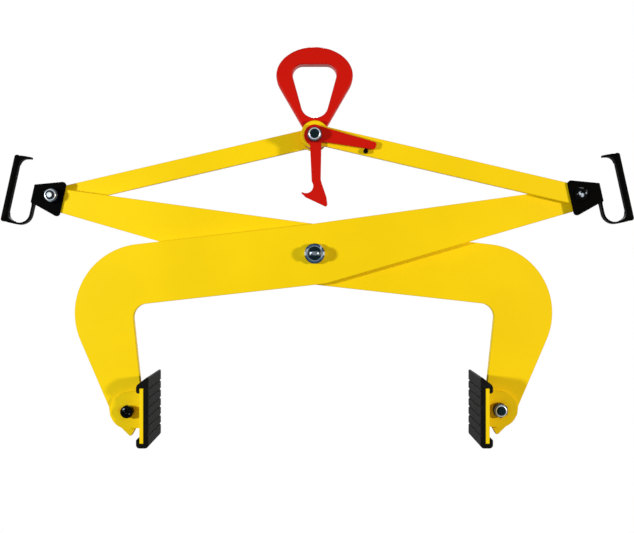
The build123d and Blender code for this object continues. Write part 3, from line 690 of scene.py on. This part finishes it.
class CLAMP_OT_cut_threads(Operator):
    """Cuts a thread on the end of every pivot bolt but the centre one"""
    bl_idname = "clamp.cut_threads"
    bl_label = "Cut Threads"

    def bolt_end(self, bolt, nut, sizes):
        """A threaded bolt end: a cylinder, a bevel and a flat end, turned about the bolt's axis.

        With a around the axis and d along it, the cylinder's radius is R + h f (1 + cos(a - 2 pi d / p)) / 2,
        where f fades the ridge out at both ends; from there it falls by the bevel, and then to nothing.
        """
        x, _, z = middle(bolt)
        side = nut_side(bolt, nut)
        face = reach_along_y(nut, side)
        tip = reach_along_y(bolt, side) + sizes.thread_skin
        shoulder = tip - sizes.bolt_bevel
        radius = sizes.bolt_radius + sizes.thread_skin
        rows, columns = THREAD_GRID
        along = np.linspace(0, 1, rows)
        depth = np.interp(along, THREAD_CORNERS, [face - sizes.bolt_bevel, shoulder, tip, tip])[:, None]
        reach = np.interp(along, THREAD_CORNERS, [radius, radius, radius - sizes.bolt_bevel, 0])[:, None]
        turn = np.linspace(0, 2 * pi, columns, endpoint=False)[None, :]
        fade = np.clip(2 * np.minimum(depth - face, shoulder - depth) / sizes.thread_pitch, 0, 1)
        ridge = (1 + np.cos(turn - 2 * pi * depth / sizes.thread_pitch)) / 2
        reach = reach + sizes.thread_height * fade * ridge
        depth = side * depth + 0 * turn
        return np.stack([x + reach * np.cos(turn), depth, z + reach * np.sin(turn)], axis=-1)

    def execute(self, context):
        sizes = context.scene.clamp_details
        for bolt, nut, body in FASTENERS:
            # The thread of a handle's bolt is plated like its nut, though its head is black
            like = nut if "handle" in bolt else bolt
            mesh = grid_mesh(bolt + "_thread", self.bolt_end(bolt, nut, sizes))
            add_piece(mesh, body, finish_of(like))
        return {"FINISHED"}


class CLAMP_OT_fit_nut_inserts(Operator):
    """Fits a nylon ring in the collar of every lock nut"""
    bl_idname = "clamp.fit_nut_inserts"
    bl_label = "Fit Nut Inserts"

    def insert_ring(self, bolt, nut, sizes):
        """A flat ring: an ellipse turned about the bolt's axis, half of it sunk in the nut's end.

        With a around the axis and s around the ellipse, the radius is R + w (m + cos s) and the depth is
        face + c w sin s, where w is half of the ring's width.
        """
        x, _, z = middle(nut)
        side = nut_side(bolt, nut)
        half = sizes.insert_width / 2
        rows, columns = INSERT_GRID
        turn = np.linspace(0, 2 * pi, rows, endpoint=False)[:, None]
        around = np.linspace(0, 2 * pi, columns, endpoint=False)[None, :]
        reach = sizes.bolt_radius + half * (INSERT_MIDDLE + np.cos(around))
        depth = side * (reach_along_y(nut, side) + INSERT_CROWN * half * np.sin(around)) + 0 * turn
        return np.stack([x + reach * np.cos(turn), depth, z + reach * np.sin(turn)], axis=-1)

    def execute(self, context):
        sizes = context.scene.clamp_details
        material = nylon("nut_insert_nylon", context.scene.clamp_finishes.nylon)
        for bolt, nut, body in FASTENERS:
            mesh = grid_mesh(nut + "_insert", self.insert_ring(bolt, nut, sizes), rows_close=True)
            add_piece(mesh, body, material)
        return {"FINISHED"}


class CLAMP_OT_lay_welds(Operator):
    """Lays a weld along each bracket's two ears, where they stand on the plate"""
    bl_idname = "clamp.lay_welds"
    bl_label = "Lay Welds"

    def bead(self, corner, low, high, sides, sizes):
        """A fillet weld: a quarter round carried up a corner, its leg rippling like overlapped scales.

        With t from 0 to 1 up the corner and a across the quarter, the leg is
        L c (v + (1 - v) |sin(pi n t + b sin 2a)|), where c closes both ends in a quarter circle;
        one more column lies inside the corner.
        """
        along = np.linspace(0, 1, WELD_ROWS_PER_SCALE * sizes.weld_scales)[:, None]
        across = np.linspace(0, pi / 2, WELD_COLUMNS)[None, :]
        ripple = np.abs(np.sin(pi * sizes.weld_scales * along + SCALE_BOW * np.sin(2 * across)))
        run = np.minimum(along, 1 - along) * (high - low) / sizes.weld_leg
        close = np.sqrt(np.clip(1 - (1 - np.clip(run, 0, 1)) ** 2, 0, 1))
        leg = sizes.weld_leg * close * (SCALE_VALLEY + (1 - SCALE_VALLEY) * ripple)
        x = corner[0] + sides[0] * leg * np.cos(across)
        y = corner[1] + sides[1] * leg * np.sin(across)
        z = low + (high - low) * along
        outside = np.stack([x, y, z + 0 * across], axis=-1)
        inside = np.stack([0 * along + corner[0], 0 * along + corner[1], z], axis=-1)
        return np.concatenate([outside, inside], axis=1)

    def execute(self, context):
        sizes = context.scene.clamp_details
        ears = (("front", sizes.ear_front, -1.0), ("rear", sizes.ear_rear, 1.0))
        for side, sign in (("left", 1.0), ("right", -1.0)):
            bracket = f"{side}_jaw_bracket"
            pivot = middle(f"{side}_jaw_bolt")
            low = pivot[2] + sizes.weld_low
            high = pivot[2] + sizes.weld_high
            for ear, depth, outward in ears:
                corner = (pivot[0] + sign * sizes.plate_back, sign * depth)
                points = self.bead(corner, low, high, (-sign, sign * outward), sizes)
                mesh = grid_mesh(f"{side}_jaw_weld_{ear}", points)
                add_piece(mesh, f"{side}_jaw", finish_of(bracket))
        return {"FINISHED"}


class CLAMP_OT_set_stage(Operator):
    """Makes the camera, the lamps, the world and the floor"""
    bl_idname = "clamp.set_stage"
    bl_label = "Set Stage"

    def camera(self, stage):
        """A level camera square to the clamp."""
        camera = bpy.data.cameras.new("camera")
        camera.lens = stage.lens
        camera.sensor_width = SENSOR_WIDTH
        viewer = bpy.data.objects.new("camera", camera)
        viewer.location = (stage.camera_x, -stage.camera_distance, stage.camera_z)
        viewer.rotation_euler = (radians(90), 0, 0)
        bpy.context.collection.objects.link(viewer)
        bpy.context.scene.camera = viewer

    def lamp(self, name, power, colour, turn, rise, stage):
        """A square lamp on a circle around the clamp's axis, tilted down towards the camera's height."""
        light = bpy.data.lights.new(name, "AREA")
        light.energy = power
        light.color = colour
        light.size = stage.lamp_size
        lamp = bpy.data.objects.new(name, light)
        reach = stage.lamp_distance
        lamp.location = (reach * np.sin(turn), -reach * np.cos(turn), stage.camera_z + rise)
        lamp.rotation_euler = (radians(90) - np.arctan2(rise, reach), 0, turn)
        bpy.context.collection.objects.link(lamp)

    def world(self, level):
        """A white surround: full white where it is seen or mirrored, and a lower level as light."""
        world = bpy.data.worlds.new("surround")
        bpy.context.scene.world = world
        world.use_nodes = True
        graph = Graph(world.node_tree)
        strength = level + (1 - level) * graph.shown()
        background = graph.node("ShaderNodeBackground", {}, {"Color": (1, 1, 1, 1), "Strength": strength})
        graph.node("ShaderNodeOutputWorld", {}, {"Surface": background})

    def floor(self, stage):
        """A round floor: rings of growing radius around the clamp's axis, at one height."""
        rows, columns = FLOOR_GRID
        reach = np.linspace(0, stage.floor_reach, rows)[:, None]
        turn = np.linspace(0, 2 * pi, columns, endpoint=False)[None, :]
        height = 0 * reach * turn - stage.floor_drop
        mesh = grid_mesh("floor", np.stack([reach * np.cos(turn), reach * np.sin(turn), height], axis=-1))
        # The paper fades by its distance from the origin, which is the floor's drop above it
        slants = [float(np.hypot(rim, stage.floor_drop)) for rim in (stage.floor_solid, stage.floor_faded)]
        mesh.materials.append(floor_paper("floor_paper", stage.paper, *slants))
        floor = bpy.data.objects.new("floor", mesh)
        bpy.context.collection.objects.link(floor)

    def execute(self, context):
        stage = context.scene.clamp_stage
        context.scene.view_settings.view_transform = "Standard"
        self.camera(stage)
        self.lamp("left_lamp", stage.left_power, stage.cool, -stage.lamp_turn, stage.lamp_rise, stage)
        self.lamp("right_lamp", stage.right_power, stage.warm, stage.lamp_turn, stage.lamp_rise, stage)
        self.lamp("back_lamp", stage.back_power, stage.white, pi, stage.back_rise, stage)
        self.world(stage.world_level)
        self.floor(stage)
        return {"FINISHED"}


OPERATORS = (
    CLAMP_OT_paint_plates,
    CLAMP_OT_paint_eye_and_hook,
    CLAMP_OT_finish_handles,
    CLAMP_OT_finish_pads,
    CLAMP_OT_plate_fasteners,
    CLAMP_OT_cut_threads,
    CLAMP_OT_fit_nut_inserts,
    CLAMP_OT_lay_welds,
    CLAMP_OT_set_stage,
)
GROUPS = {"clamp_finishes": ClampFinishes, "clamp_details": ClampDetails, "clamp_stage": ClampStage}


# Panel and running

class CLAMP_PT_panel(Panel):
    """Lists the clamp's settings and steps"""
    bl_idname = "CLAMP_PT_panel"
    bl_label = "Block Lifting Clamp"
    bl_space_type = "VIEW_3D"
    bl_region_type = "UI"
    bl_category = "Clamp"

    def draw(self, context):
        for group in GROUPS:
            settings = getattr(context.scene, group)
            box = self.layout.box()
            for name in settings.__annotations__:
                box.prop(settings, name)
        for operator in OPERATORS:
            self.layout.operator(operator.bl_idname)


def register():
    for name, group in GROUPS.items():
        bpy.utils.register_class(group)
        setattr(bpy.types.Scene, name, PointerProperty(type=group))
    for panel_or_operator in (*OPERATORS, CLAMP_PT_panel):
        bpy.utils.register_class(panel_or_operator)


def unregister():
    for panel_or_operator in (CLAMP_PT_panel, *reversed(OPERATORS)):
        bpy.utils.unregister_class(panel_or_operator)
    for name, group in GROUPS.items():
        delattr(bpy.types.Scene, name)
        bpy.utils.unregister_class(group)


def main():
    register()
    for operator in OPERATORS:
        step = operator.bl_idname.split(".")[1]
        getattr(bpy.ops.clamp, step)()


if __name__ == "__main__":
    main()
